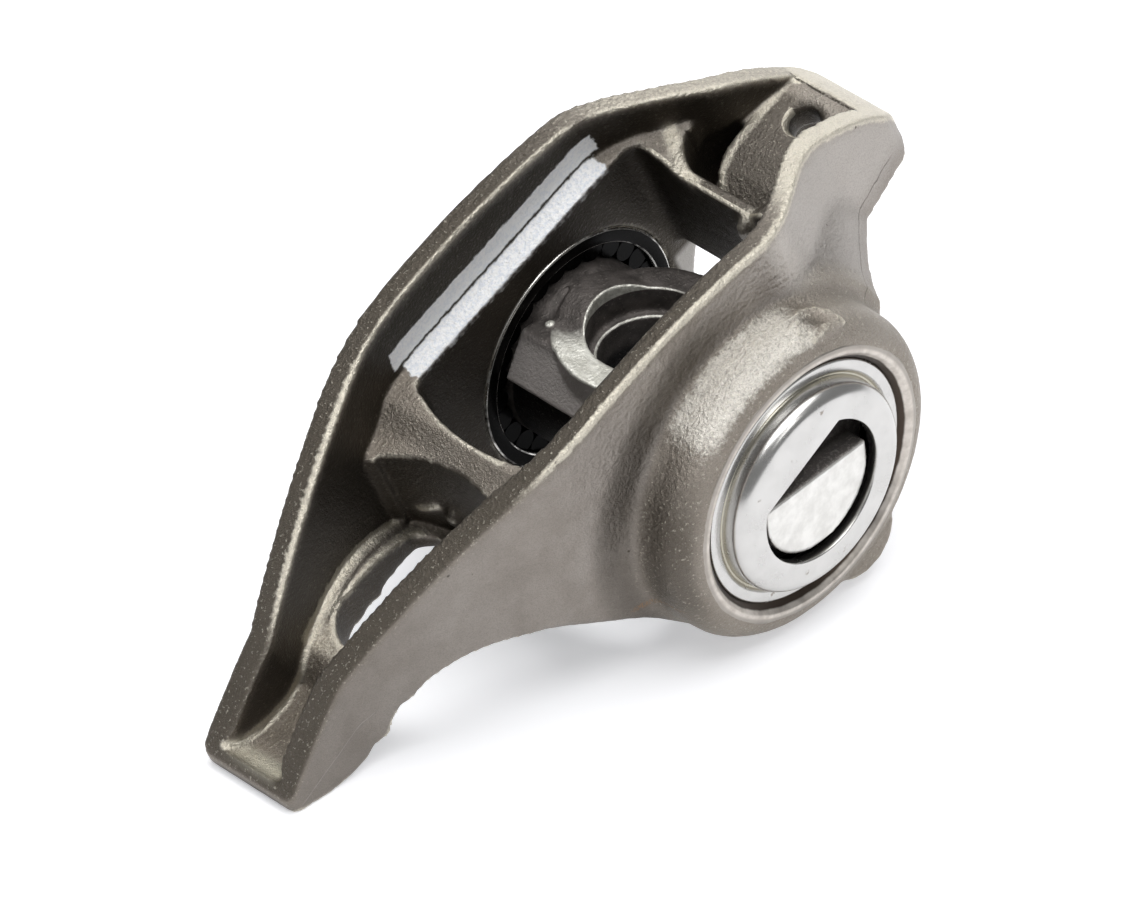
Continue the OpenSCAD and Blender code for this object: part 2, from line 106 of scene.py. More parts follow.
# The rim's crown (along, up) and the radius of its arc towards the pad and towards the cup
CROWN = (-6.5, 20.25)
PAD_ARC_R = 65.2
CUP_ARC_R = 68.0
# The centre and the radius of the slot's round end, and its widest place (along, half of its width)
SLOT_END = -29.4
SLOT_R = 3.9
SLOT_WIDE = (-21.3, 5.7)
# The oil hole's place along the casting
OIL_HOLE = 22.3
# The opening's flat side, on the lathe's angle from along to up
EYE_TURN = math.radians(98)


# Shapes
def about_axis(points, turn):
    """Points turned about the trunnion's axis, +Y."""
    c, n = math.cos(turn), math.sin(turn)
    x, y, z = np.asarray(points, float).T
    return np.stack([x * c + z * n, y, -x * n + z * c], 1)


def to_rest(points):
    """From the casting's directions (along, across, up) in mm to the model's frame in metres."""
    return about_axis(points, -TILT) * MM


def to_casting(points):
    """From the model's frame in metres to the casting's directions in mm."""
    return about_axis(points / MM, TILT)


def points_of(mesh):
    co = np.empty(len(mesh.vertices) * 3)
    mesh.vertices.foreach_get("co", co)
    return co.reshape(-1, 3)


def set_points(mesh, points):
    mesh.vertices.foreach_set("co", np.asarray(points, np.float32).ravel())
    mesh.update()


def smooth_shading(mesh):
    mesh.polygons.foreach_set("use_smooth", [True] * len(mesh.polygons))
    mesh.update()


def new_piece(name, mesh, body, material):
    piece = bpy.data.objects.new(name, mesh)
    bpy.context.scene.collection.objects.link(piece)
    mesh.materials.clear()
    mesh.materials.append(material)
    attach(piece, body)
    return piece


def change(mesh, step):
    """Runs a step on the mesh's faces, edges and corners."""
    work = bmesh.new()
    work.from_mesh(mesh)
    step(work)
    work.to_mesh(mesh)
    work.free()


def welded_copy(node, name):
    """The CAD node's mesh as one closed mesh in mm, in the casting's directions."""
    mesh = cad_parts[node].data.copy()
    mesh.name = name
    change(mesh, lambda work: bmesh.ops.remove_doubles(work, verts=work.verts, dist=2e-7))
    set_points(mesh, to_casting(points_of(mesh)))
    return mesh


def add_solid(work, rings):
    """A closed skin through rings of points, with its two ends filled."""
    rows = [[work.verts.new(p) for p in ring] for ring in rings]
    count = len(rows[0])
    for low, high in zip(rows, rows[1:]):
        for i in range(count):
            j = (i + 1) % count
            work.faces.new((low[i], low[j], high[j], high[i]))
    work.faces.new(tuple(reversed(rows[0])))
    work.faces.new(tuple(rows[-1]))


def bead(work, path, radii, sides=10):
    """A round bead along a path of points, in mm."""
    points = [Vector(p) for p in path]
    rings = []
    for i, p in enumerate(points):
        ahead = points[min(i + 1, len(points) - 1)] - points[max(i - 1, 0)]
        ahead.normalize()
        side = ahead.cross(Vector((0, 0, 1)))
        if side.length < 0.1:
            side = ahead.cross(Vector((0, 1, 0)))
        side.normalize()
        up = side.cross(ahead)
        r = radii[i] if isinstance(radii, (list, tuple)) else radii
        rings.append([
            p + side * r * math.cos(a) + up * r * math.sin(a)
            for a in [2 * math.pi * k / sides for k in range(sides)]
        ])
    add_solid(work, rings)


def modified(mesh, kind, settings):
    """The mesh as one modifier leaves it."""
    source = bpy.data.objects.new("modifier_source", mesh)
    bpy.context.scene.collection.objects.link(source)
    step = source.modifiers.new("step", kind)
    for name, value in settings.items():
        setattr(step, name, value)
    graph = bpy.context.evaluated_depsgraph_get()
    graph.update()
    result = bpy.data.meshes.new_from_object(source.evaluated_get(graph))
    bpy.data.objects.remove(source)
    return result


def remeshed(mesh, cell):
    """One skin round everything in the mesh, in even cells."""
    return modified(mesh, "REMESH", {
        "mode": "VOXEL", "voxel_size": cell, "adaptivity": 0, "use_smooth_shade": True})


class Skin:
    """Vertex moves on a dense mesh, with its edges as index pairs."""

    def __init__(self, mesh):
        self.mesh = mesh
        self.points = points_of(mesh)
        pairs = np.empty(len(mesh.edges) * 2, np.int64)
        mesh.edges.foreach_get("vertices", pairs)
        self.a, self.b = pairs.reshape(-1, 2).T
        self.count = len(self.points)
        ends = np.concatenate([self.a, self.b])
        self.degree = np.maximum(np.bincount(ends, minlength=self.count), 1)[:, None]

    def around(self, values):
        """The mean of each vertex's neighbours."""
        values = values.reshape(self.count, -1)
        total = np.empty_like(values, dtype=float)
        for k in range(values.shape[1]):
            column = values[:, k]
            total[:, k] = np.bincount(self.a, column[self.b], self.count) + np.bincount(
                self.b, column[self.a], self.count)
        return total / self.degree

    def pull(self):
        """From each vertex to the mean of its neighbours."""
        return self.around(self.points) - self.points

    def relax(self, passes, weight, keep_size=True):
        """Smooths the skin by a weight at each vertex. Without keep_size it also shrinks."""
        weight = weight[:, None]
        for _ in range(passes):
            self.points = self.points + RELAX_IN * weight * self.pull()
            if keep_size:
                self.points = self.points - RELAX_OUT * weight * self.pull()

    def fill(self, passes, weight):
        """Smooths the hollows alone, which only adds metal. Its normals are renewed now and then."""
        for i in range(passes):
            if i % 5 == 0:
                normals = self.normals()
            move = 0.6 * weight[:, None] * self.pull()
            self.points = self.points + move * ((move * normals).sum(1) > 0)[:, None]

    def normals(self):
        set_points(self.mesh, self.points)
        found = np.empty(self.count * 3, np.float32)
        self.mesh.vertex_normals.foreach_get("vector", found)
        return found.reshape(-1, 3).astype(float)

    def spread(self, values, passes):
        for _ in range(passes):
            values = 0.5 * values + 0.5 * self.around(values)[:, 0]
        return values

    def bend(self, normals):
        """How far each vertex stands out of its neighbours, which is large on edges."""
        return -(self.pull() * normals).sum(1)


def thinned(mesh, triangles):
    """The same skin with fewer triangles, most of them where it bends."""
    mesh.calc_loop_triangles()
    return modified(mesh, "DECIMATE", {"ratio": triangles / len(mesh.loop_triangles)})


def band(x, low, high, soft):
    """1 between low and high, falling to 0 over soft on both sides."""
    up = np.clip((x - low) / soft + 0.5, 0, 1)
    down = np.clip((high - x) / soft + 0.5, 0, 1)
    mask = np.minimum(up, down)
    return mask * mask * (3 - 2 * mask)


def waves(points, size, seed):
    """Soft noise from -1 to 1 at each point."""
    shift = Vector((seed * 7.13, seed * 3.71, seed * 5.37))
    return np.array([noise.noise(Vector(p) / size + shift) for p in points])


def near_path(points, path, reach):
    """1 on a path of points in mm, falling away over a distance from it."""
    closest = np.full(len(points), 1e9)
    for start, end in zip(np.array(path[:-1]), np.array(path[1:])):
        way = end - start
        share = np.clip((points - start) @ way / (way @ way), 0, 1)
        closest = np.minimum(closest, np.linalg.norm(points - start - share[:, None] * way, axis=1))
    return np.exp(-(closest / reach) ** 2)


def ramp(x, length):
    """0 where x is below 0, rising evenly to 1 over a length."""
    return np.clip(x / length, 0, 1)


def half_width(s):
    return np.interp(s, WIDTH_AT, WIDTH)


def rim_height(s):
    """Height of the rim over the axis, on its two long arcs and down the nose."""
    crown, high = CROWN
    reach = (s - crown) ** 2
    to_pad = high - PAD_ARC_R + np.sqrt(np.maximum(PAD_ARC_R ** 2 - reach, 0))
    to_cup = high - CUP_ARC_R + np.sqrt(CUP_ARC_R ** 2 - reach)
    arcs = np.where(s < crown, to_pad, to_cup)
    return np.where(s > NOSE_AT[0], np.interp(s, NOSE_AT, NOSE_RIM), arcs)


def store(mesh, name, values):
    layer = mesh.attributes.new(name, "FLOAT", "POINT")
    layer.data.foreach_set("value", np.asarray(values, np.float32))


def lathe(profile, steps):
    """A closed ring about the Y axis from (radius, across) points. A radius may be a function of the
    angle."""
    angles = np.linspace(0, 2 * math.pi, steps, endpoint=False)
    rows = []
    for r, y in profile:
        radius = r(angles) if callable(r) else np.full(steps, float(r))
        flat = np.full(steps, float(y))
        rows.append(np.stack([radius * np.cos(angles), flat, radius * np.sin(angles)], 1))
    points = np.concatenate(rows)
    faces = []
    count = len(profile)
    for k in range(count):
        n = (k + 1) % count
        for i in range(steps):
            j = (i + 1) % steps
            faces.append((k * steps + i, n * steps + i, n * steps + j, k * steps + j))
    return points, faces


def mesh_from(name, points, faces):
    mesh = bpy.data.meshes.new(name)
    mesh.from_pydata([tuple(p) for p in points], [], faces)
    mesh.update()
    change(mesh, lambda work: bmesh.ops.recalc_face_normals(work, faces=work.faces))
    smooth_shading(mesh)
    return mesh


# Shader sums
class Wire:
    """A shader value. Sums written with it add their Math nodes."""

    def __init__(self, nodes, socket):
        self.nodes = nodes
        self.socket = socket

    def sum(self, operation, *values):
        node = self.nodes.add("ShaderNodeMath", {"operation": operation}, dict(enumerate(values)))
        return Wire(self.nodes, node.outputs[0])

    def __add__(self, other):
        return self.sum("ADD", self, other)

    __radd__ = __add__

    def __sub__(self, other):
        return self.sum("SUBTRACT", self, other)

    def __rsub__(self, other):
        return self.sum("SUBTRACT", other, self)

    def __mul__(self, other):
        return self.sum("MULTIPLY", self, other)

    __rmul__ = __mul__

    def __truediv__(self, other):
        return self.sum("DIVIDE", self, other)

    def __pow__(self, other):
        return self.sum("POWER", self, other)

    def lowest(self, other):
        return self.sum("MINIMUM", self, other)

    def highest(self, other):
        return self.sum("MAXIMUM", self, other)

    def size(self):
        return self.sum("ABSOLUTE", self)

    def root(self):
        return self.sum("SQRT", self)

    def step(self, low, high):
        """0 at low and 1 at high, with a soft start and end. low may be the larger one."""
        node = self.nodes.add(
            "ShaderNodeMapRange", {"interpolation_type": "SMOOTHSTEP"},
            {"Value": self, "From Min": low, "From Max": high, "To Min": 0.0, "To Max": 1.0})
        return Wire(self.nodes, node.outputs[0])

    def between(self, low, high, soft):
        """1 between low and high, with a soft start and end."""
        return self.step(low - soft, low + soft) * (1 - self.step(high - soft, high + soft))


class Nodes:
    """An emptied node tree and the one way to add to it."""

    def __init__(self, owner):
        owner.use_nodes = True
        self.tree = owner.node_tree
        self.tree.nodes.clear()

    def plug(self, socket, value):
        """Links a value to a socket, or sets the socket to it."""
        if isinstance(value, Wire):
            value = value.socket
        if isinstance(value, bpy.types.NodeSocket):
            self.tree.links.new(value, socket)
        elif socket.type == "RGBA":
            socket.default_value = (*value, 1.0)
        else:
            socket.default_value = value

    def add(self, kind, settings=None, values=None):
        """A node of a kind, with its settings and the values of its sockets."""
        node = self.tree.nodes.new(kind)
        for name, setting in (settings or {}).items():
            setattr(node, name, setting)
        for name, value in (values or {}).items():
            self.plug(node.inputs[name], value)
        return node


class Paint(Nodes):
    """A material and the nodes in it."""

    def __init__(self, name):
        self.material = bpy.data.materials.new(name)
        super().__init__(self.material)
        self.surface = self.add("ShaderNodeBsdfPrincipled")
        self.output = self.add("ShaderNodeOutputMaterial", {}, {0: self.surface.outputs[0]})
        self.place = self.add("ShaderNodeTexCoord")

    def along(self, direction):
        """Distance along a direction, in mm."""
        node = self.add("ShaderNodeVectorMath", {"operation": "DOT_PRODUCT"},
                        {0: self.place.outputs["Object"], 1: tuple(1000.0 * x for x in direction)})
        return Wire(self, node.outputs["Value"])

    def noise(self, size, detail, rough, stretch=None):
        """Noise from about 0 to 1, with spots of a size in mm."""
        where = self.place.outputs["Object"]
        if stretch:
            where = self.add("ShaderNodeVectorMath", {"operation": "MULTIPLY"},
                             {0: where, 1: stretch}).outputs[0]
        node = self.add("ShaderNodeTexNoise", {}, {
            "Vector": where, "Scale": 1000.0 / size, "Detail": detail, "Roughness": rough})
        return Wire(self, node.outputs[0])

    def from_axis(self):
        """Distance from the trunnion's axis, in mm."""
        s, t = self.along(ALONG), self.along(UP)
        return (s * s + t * t).root()

    def lay(self, radius):
        """The fine circles that turning leaves, 9 to a mm."""
        node = self.add("ShaderNodeTexNoise", {"noise_dimensions": "1D"}, {
            "W": radius * 9.0, "Scale": 1.0, "Detail": 3.0, "Roughness": 0.7})
        return Wire(self, node.outputs[0])

    def cells(self, size):
        """Distance from the nearest of many points, in cells of a size in mm."""
        node = self.add("ShaderNodeTexVoronoi", {}, {
            "Vector": self.place.outputs["Object"], "Scale": 1000.0 / size})
        return Wire(self, node.outputs["Distance"])

    def layer(self, name):
        """A value that the mesh carries at its vertices."""
        node = self.add("ShaderNodeAttribute", {"attribute_name": name})
        return Wire(self, node.outputs["Fac"])

    def mix(self, share, first, second):
        node = self.add("ShaderNodeMix", {"data_type": "RGBA"},
                        {"Factor": share, 6: first, 7: second})
        return node.outputs[2]

    def bumps(self, *layers):
        """Heights in mm, each with its strength, one on the other."""
        normal = None
        for height, strength in layers:
            values = {"Height": height, "Distance": MM, "Strength": strength}
            if normal is not None:
                values["Normal"] = normal
            normal = self.add("ShaderNodeBump", {}, values).outputs[0]
        self.plug(self.surface.inputs["Normal"], normal)

    def feed(self, colour, rough, metal, specular=0.5):
        for name, value in (("Base Color", colour), ("Roughness", rough), ("Metallic", metal),
                            ("Specular IOR Level", specular)):
            self.plug(self.surface.inputs[name], value)


# Finishes
# The near black of the oil in and on the bearings, which also stands for painted shade inside them
OIL_AND_SHADE = (0.0025, 0.0022, 0.002)


def cast_finish(colours):
    """Cast steel: warm grey and grainy, with painted shade inside the trough and edges lighter with
    wear and painted highlights.
    """
    p = Paint("cast_steel")
    s, y, t = p.along(ALONG), p.along(ACROSS), p.along(UP)
    grain, fine = p.noise(0.28, 4.0, 0.65), p.noise(0.12, 2.0, 0.5)
    blotch, drift = p.noise(2.6, 3.0, 0.6), p.noise(9.0, 2.0, 0.5)
    worn_and_lit, hollow, inside = p.layer("worn_and_lit"), p.layer("hollow"), p.layer("inside")
    rim, grainy, shade, shine = p.layer("rim"), p.layer("grainy"), p.layer("shade"), p.layer("shine")
    leather = p.noise(0.5, 2.0, 0.5)
    hole = ((s - OIL_HOLE) * (s - OIL_HOLE) + y * y).root()
    chamfer = hole.between(1.34, 1.74, 0.07) * t.step(8.7, 8.9) * (1 - (s - y * 0.3).step(21.9, 22.5))
    bar_edge = s.between(12.25, 12.62, 0.08) * (1 - y.size().step(6.2, 6.8)) * t.step(10.4, 10.9)
    # Edges lighter with wear and painted highlights, and painted highlights in the oil hole's chamfer
    # and on the thin bar's edge
    bright = worn_and_lit.highest(chamfer).highest(bar_edge * 0.8) * 1.5
    bright = (bright + grain * 0.8 - 0.66).step(0.0, 0.75)
    steel = p.mix(blotch.step(0.32, 0.68), colours.steel_dark, colours.steel)
    # Lighter drifts at random, and a painted highlight that makes the neck and the nose a little
    # lighter outside
    light = (drift.step(0.35, 0.7) * 0.35).highest(s.step(4.0, 14.0) * t.step(2.0, 6.0) * 0.9)
    steel = p.mix(light * (1 - inside), steel, colours.steel_cool)
    # A painted highlight lightens the near wall above the boss
    above = s.between(8.5, 15.0, 2.0) * t.step(8.5, 11.0) * (1 - y.step(-11.6, -10.6))
    steel = p.mix(above * 0.5, steel, (0.68, 0.64, 0.59))
    steel = p.mix(grainy * 0.5, steel, (0.33, 0.288, 0.232))
    glints = (shine * 1.2 + (grain - 0.5) * 1.5 + (leather - 0.5) * 0.9 - 0.4).step(-0.15, 0.85)
    steel = p.mix(glints * shine.step(0.02, 0.5) * 0.94, steel, (0.95, 0.91, 0.83))
    # Painted shade inside the trough, less of it towards the pad, and in the hollows, and painted dark
    # reflections on the rim tops
    dark = inside * (0.94 - s.step(-20.0, -30.0) * 0.10 - s.step(-37.0, -42.0) * 0.13)
    dark = dark.highest(hollow * (0.3 + grainy * 0.25))
    dark = dark.highest(rim * (0.78 - s.step(0.0, 15.0) * 0.5) * (0.8 + grain * 0.4)).lowest(1.0)
    # The cup's boss, the thin bar's top, the pad's floor and the walls at the pad are darker
    cup = s.between(12.6, 23.7, 0.5) * (1 - y.size().step(3.3, 3.9)) * t.step(7.0, 8.0)
    bar = s.between(12.2, 14.0, 0.3) * (1 - y.size().step(6.5, 7.5)) * t.step(10.4, 10.9)
    trough = s.between(-43.0, -34.0, 1.2) * (1 - y.size().step(3.4, 4.2)) * t.step(5.0, 5.4)
    dark = dark.highest(shade * 0.6).highest(s.step(-8.0, -42.0) * 0.28)
    dark = dark.highest(cup.highest(bar * (1 - y.step(3.0, 5.0) * 0.5)) * 0.62).highest(trough * 0.5)
    steel = p.mix(dark, steel, colours.scale)
    steel = p.mix(bright * 0.92 * (1 - inside * 0.45), steel, colours.worn_and_lit)
    # Painted glints where the grain catches the lamps
    sparkle = grain.step(0.58, 0.68) * (grainy * 0.4 + 0.06 + inside * 0.05)
    steel = p.mix(sparkle, steel, colours.worn_and_lit)
    steel = p.mix(fine.step(0.52, 0.4) * 0.16, steel, colours.scale)
    # The pad's trough is rubbed bright at the tip
    rubbed = s.between(-45.3, -43.7, 0.8) * (1 - y.size().step(2.0, 3.2)) * (1 - t.step(7.2, 7.8))
    rubbed = rubbed * (0.45 + grain * 0.5) * (1 - y.step(-1.0, 3.0) * 0.55)
    steel = p.mix(rubbed, steel, (0.74, 0.71, 0.58))
    # A paler patch of the far wall beside the thin bar, and a little rust below the near boss
    patch = s.step(10.7, 11.3) * (1 - t.step(-1.9, -0.9)) * y.step(7.0, 7.8) * (1 - s.step(13.5, 14))
    patch = patch * (1 - y.step(10.4, 11.2))
    steel = p.mix(patch * 0.8, steel, (0.50, 0.48, 0.45))
    rust = (((s + 14.9) / 1.2) ** 2.0 + ((t + 1.2) / 0.4) ** 2.0).step(1.2, 0.3)
    rust = rust * (1 - y.step(-9.0, -8.0))
    steel = p.mix(rust * fine.step(0.45, 0.6) * 0.75, steel, (0.26, 0.15, 0.07))
    # Parting lines, the fine crease on the nose and a few dark spots
    wander = (p.noise(1.4, 2.0, 0.5) - 0.5) * 0.25
    pad_line = (t - (s + 36.76) * 0.184 - 7.06 + wander).size().step(0.09, 0.03)
    pad_line = pad_line * s.between(-45.2, -36.4, 0.4) * (1 - y.step(-4.4, -4.0))
    neck_line = (t - 4.35 + wander * 2.0).size().step(0.10, 0.03) * s.between(13.5, 25.0, 0.8)
    neck_line = neck_line * (1 - inside) * (1 - y.step(2.0, 4.0) * 0.6)
    crease = (s - 25.0 + wander).size().step(0.13, 0.05) * (1 - y.size().step(3.4, 3.9))
    crease = crease * t.step(9.0, 9.3) * grain.step(0.40, 0.52)
    spots = p.cells(3.1).step(0.055, 0.03) * blotch.step(0.5, 0.56)
    steel = p.mix(pad_line * 0.35, steel, colours.steel_cool)
    lines = (neck_line * 0.5).highest(crease * 0.85).highest(spots * 0.8)
    steel = p.mix(lines, steel, (0.05, 0.04, 0.03))
    # The two pale stripes of marking paint on the far wall and its ledge
    ragged = p.noise(0.9, 3.0, 0.6) - 0.5
    mottle = p.noise(0.3, 3.0, 0.65)
    length = s + ragged * 1.1
    high = t + ragged * 0.55
    wall_band = length.between(-14.3, 9.9, 0.12) * high.between(14.28, 16.25, 0.12)
    wall_band = wall_band * y.step(8.6, 8.8) * (1 - y.step(10.2, 10.5))
    ledge_band = (s + ragged * 1.0).between(-13.6, 9.3, 0.12) * high.between(12.9, 13.98, 0.12)
    ledge_band = ledge_band * (y + ragged * 0.35).step(8.05, 8.25)
    ledge_band = ledge_band * (1 - (y + ragged * 0.3).step(10.1, 10.3))
    paint = (wall_band * (0.86 + mottle * 0.4)).highest(ledge_band * (0.9 + mottle * 0.3)).lowest(1.0)
    blue = mottle.step(0.42, 0.62) * (0.4 - wall_band * 0.15)
    thin = p.mix(blue, colours.paint, colours.paint_blue)
    rough = 0.34 + blotch * 0.10 - bright * 0.08 + hollow * 0.06 + fine * 0.06 - rubbed * 0.06
    p.feed(colour=p.mix(paint, steel, thin), rough=paint * 0.62 + (1 - paint) * rough,
           metal=0.92 * (1 - paint))
    hide = s.step(-22.0, -4.0) * (1 - inside) * (1 - s.step(10.0, 20.0))
    coarse = grain * (0.075 + grainy * 0.11 + shine * 0.09 + inside * 0.03)
    slight = fine * (0.028 + grainy * 0.024)
    cuts = pad_line * 0.04 - neck_line * 0.05 - crease * 0.08
    p.bumps((leather * hide * 0.19, 1.0), (coarse, 1.0), (slight, 1.0), (cuts, 1.0))
    return p.material


def bearing_finish():
    """The shells: drawn steel with a faint lay of circles about the trunnion's axis."""
    p = Paint("bearing_steel")
    radius, across = p.from_axis(), p.along(ACROSS).size()
    haze, fleck = p.noise(2.2, 3.0, 0.55), p.noise(0.35, 2.0, 0.5)
    bright = (0.62, 0.612, 0.595)
    tint = p.mix(haze.step(0.35, 0.7) * 0.5, bright, tuple(0.84 * x for x in bright))
    # Brown oil stands in the groove round the raised end
    groove = radius.between(PLATEAU_R, PLATEAU_R + 0.42, 0.10)
    groove = groove * across.step(SHELL_FACE + 0.14, SHELL_FACE)
    tint = p.mix(groove * 0.55, tint, (0.33, 0.29, 0.17))
    spots = p.cells(2.4).step(0.13, 0.07) * fleck.step(0.5, 0.6)
    tint = p.mix(spots * 0.6, tint, (0.16, 0.12, 0.08))
    # Oil and painted shade make all that lies inside the bearing near black, with hardly any reflection
    inner = across.step(11.0, 9.9).highest(radius.step(9.75, 9.55) * across.step(15.6, 15.2))
    tint = p.mix(inner, tint, OIL_AND_SHADE)
    # The shell's end inside the arm has two bright edges
    lip = radius.between(BORE_R - 0.2, BORE_R + 0.1, 0.05)
    lip = lip.highest(radius.between(RACE_R - 0.4, RACE_R - 0.22, 0.04))
    lip = lip * across.step(INNER_FACE + 0.35, INNER_FACE + 0.2) * haze.step(0.36, 0.56)
    tint = p.mix(lip, tint, (0.85, 0.83, 0.79))
    p.feed(colour=tint, rough=0.17 + haze * 0.12 + fleck * 0.05,
           metal=1 - inner * (1 - lip) * 0.97, specular=0.04)
    p.bumps((p.lay(radius) * 0.004, 0.8), (fleck * 0.002, 0.6))
    return p.material


def needle_finish():
    """The needles, made nearly black by oil and by painted shade."""
    p = Paint("needle_steel")
    haze, fleck = p.noise(2.2, 3.0, 0.55), p.noise(0.35, 2.0, 0.5)
    tint = p.mix(haze.step(0.3, 0.6), (0.0008, 0.0008, 0.0008), OIL_AND_SHADE)
    p.feed(colour=tint, rough=0.12 + haze * 0.12 + fleck * 0.05, metal=0.0, specular=0.04)
    return p.material


def mouth_finish():
    """The bores' mouths: turned cast steel, with painted shade down beside the shell."""
    p = Paint("turned_cast_steel")
    radius = p.from_axis()
    blotch, fine = p.noise(1.2, 3.0, 0.6), p.noise(0.2, 2.0, 0.5)
    steel = p.mix(blotch.step(0.3, 0.7), (0.47, 0.43, 0.385), (0.68, 0.635, 0.58))
    # Painted shade in the chamfer down beside the shell
    steel = p.mix((radius + blotch * 0.12).step(11.06, 10.92), steel, (0.065, 0.050, 0.040))
    steel = p.mix((radius + blotch * 0.1).step(11.5, 11.75) * 0.7, steel, (0.31, 0.283, 0.254))
    p.feed(colour=steel, rough=0.34 + blotch * 0.14, metal=0.95)
    p.bumps((p.lay(radius) * 0.006, 0.8), (fine * 0.01, 0.7))
    return p.material


def sintered_finish(colours):
    """The trunnion: dark pressed steel, with the land round the bolt wiped bright on one side."""
    p = Paint("sintered_steel")
    c, n = math.cos(TRUNNION_TURN), math.sin(TRUNNION_TURN)
    along, across, up = p.along((c, 0, -n)), p.along(ACROSS), p.along((n, 0, c))
    grain, fine = p.noise(0.24, 3.0, 0.65), p.noise(0.1, 2.0, 0.5)
    blotch = p.noise(1.6, 3.0, 0.6)
    edge = p.layer("edge")
    block = 1 - across.size().step(8.0, 8.2)
    front = along.step(-5.9, -6.8) * block * up.step(1.5, 2.6)
    radius = (along * along + across * across).root()
    ragged = p.noise(1.1, 3.0, 0.6) - 0.5
    land = up.between(BLOCK_TOP - 0.14, 7.2, 0.06) * radius.between(RECESS_R - 0.14, 7.62, 0.08)
    wiped = land * (along * -1.0 - across * 0.55 + ragged * 2.2).step(1.2, 3.4)
    stub = across.size().step(16.0, 16.4)
    face = across.size().step(17.45, 17.55)
    dark = p.mix(blotch.step(0.35, 0.65), colours.trunnion, colours.trunnion_light)
    dark = p.mix(front * 0.85, dark, (0.54, 0.50, 0.478))
    # Painted shade on the block's lower part
    dark = p.mix((1 - up.step(1.3, 2.2)) * block, dark, (0.006, 0.005, 0.005))
    dark = p.mix(across.size().step(15.5, 16.0) * 0.55, dark, (0.30, 0.28, 0.265))
    dark = p.mix(grain.step(0.6, 0.72) * 0.5, dark, (0.36, 0.33, 0.30))
    dark = p.mix(stub * grain.step(0.5, 0.64) * 0.6, dark, (0.50, 0.46, 0.43))
    dark = p.mix((edge * 1.4 + grain * 0.5 - 0.5).step(0.0, 0.8) * 0.8, dark, (0.55, 0.53, 0.50))
    streaks = p.noise(0.5, 4.0, 0.7, stretch=(1.0, 0.35, 1.0))
    silver = p.mix(streaks.step(0.35, 0.65), (0.58, 0.57, 0.51), (0.86, 0.85, 0.78))
    ring = radius.between(RECESS_R - 0.1, RECESS_R + 0.16, 0.05) * up.step(BLOCK_TOP, BLOCK_TOP + 0.09)
    bolt_ring = radius.between(BOLT_R - 0.1, BOLT_R + 0.2, 0.05)
    bolt_ring = bolt_ring * up.between(RECESS_FLOOR - 0.14, RECESS_FLOOR + 0.3, 0.05)
    ring = ring.highest(bolt_ring) * (0.55 + grain * 0.7) * (along * -0.4 + across + 2.4).step(0.0, 3.0)
    wiped = wiped.highest(ring).highest(p.layer("drop").step(0.25, 0.6))
    colour = p.mix(wiped, dark, silver)
    colour = p.mix(face, colour, p.mix(blotch.step(0.3, 0.7), (0.67, 0.66, 0.63), (0.82, 0.81, 0.78)))
    p.feed(colour=colour, rough=0.42 + grain * 0.2 - wiped * 0.1 - face * 0.12 - stub * 0.02,
           metal=0.55 + face * 0.4)
    p.bumps((grain * 0.11 * (1 - face * 0.9), 0.8), (fine * 0.014, 0.7), (streaks * wiped * 0.03, 0.7))
    return p.material


# Pieces
def eye_radius(grow):
    """The half-moon opening's radius at each angle, grown by a distance, with softened corners."""
    def at(angles):
        flat = np.cos(angles - EYE_TURN)
        reach = np.where(flat > 1e-3, (EYE_FLAT + grow) / np.maximum(flat, 1e-3), 1e3)
        return np.minimum(EYE_R + grow, reach)
    return at


def shell_mesh(side):
    """A drawn-cup bearing shell: rolled edges, a fine groove and a raised end with its opening."""
    top, floor = PLATEAU_FACE, PLATEAU_FACE - 1.0
    # The radii of the rolled edge, of the raised end's shoulder and of the opening's lip
    roll, shoulder, lip = 0.28, 1.1, 0.14
    quarter = math.pi / 2
    profile = [(BORE_R, INNER_FACE + roll), (BORE_R, SHELL_FACE - 0.30)]
    profile += [(BORE_R - roll + roll * math.cos(a), SHELL_FACE - roll + roll * math.sin(a))
                for a in np.linspace(0.2, quarter, 5)]
    profile += [(9.62, SHELL_FACE), (9.48, SHELL_FACE - 0.05), (9.33, SHELL_FACE - 0.28),
                (9.16, SHELL_FACE - 0.34), (9.04, SHELL_FACE - 0.24), (PLATEAU_R, SHELL_FACE)]
    profile += [(PLATEAU_R - shoulder + shoulder * math.cos(a), top - shoulder + shoulder * math.sin(a))
                for a in np.linspace(0.0, quarter, 12)]
    profile += [(7.2, top), (eye_radius(lip), top)]
    profile += [(eye_radius(lip - lip * math.sin(a)), top - lip + lip * math.cos(a))
                for a in np.linspace(0.3, quarter, 4)]
    profile += [(eye_radius(0.0), floor + 0.06), (eye_radius(0.08), floor), (7.0, floor),
                (7.8, floor - 0.8), (7.8, SHELL_FACE - 1.0), (RACE_R, SHELL_FACE - 1.0),
                (RACE_R, LIP_END), (RACE_R - 0.3, LIP_END), (RACE_R - 0.35, LIP_END - 0.05),
                (RACE_R - 0.35, INNER_FACE + 0.16), (RACE_R - 0.31, INNER_FACE + 0.05),
                (RACE_R - 0.2, INNER_FACE), (BORE_R - roll, INNER_FACE),
                (BORE_R - 0.12, INNER_FACE + 0.04), (BORE_R - 0.04, INNER_FACE + 0.12)]
    points, faces = lathe(profile, steps=288)
    points[:, 1] *= side
    return mesh_from("bearing_shell", to_rest(points), faces)


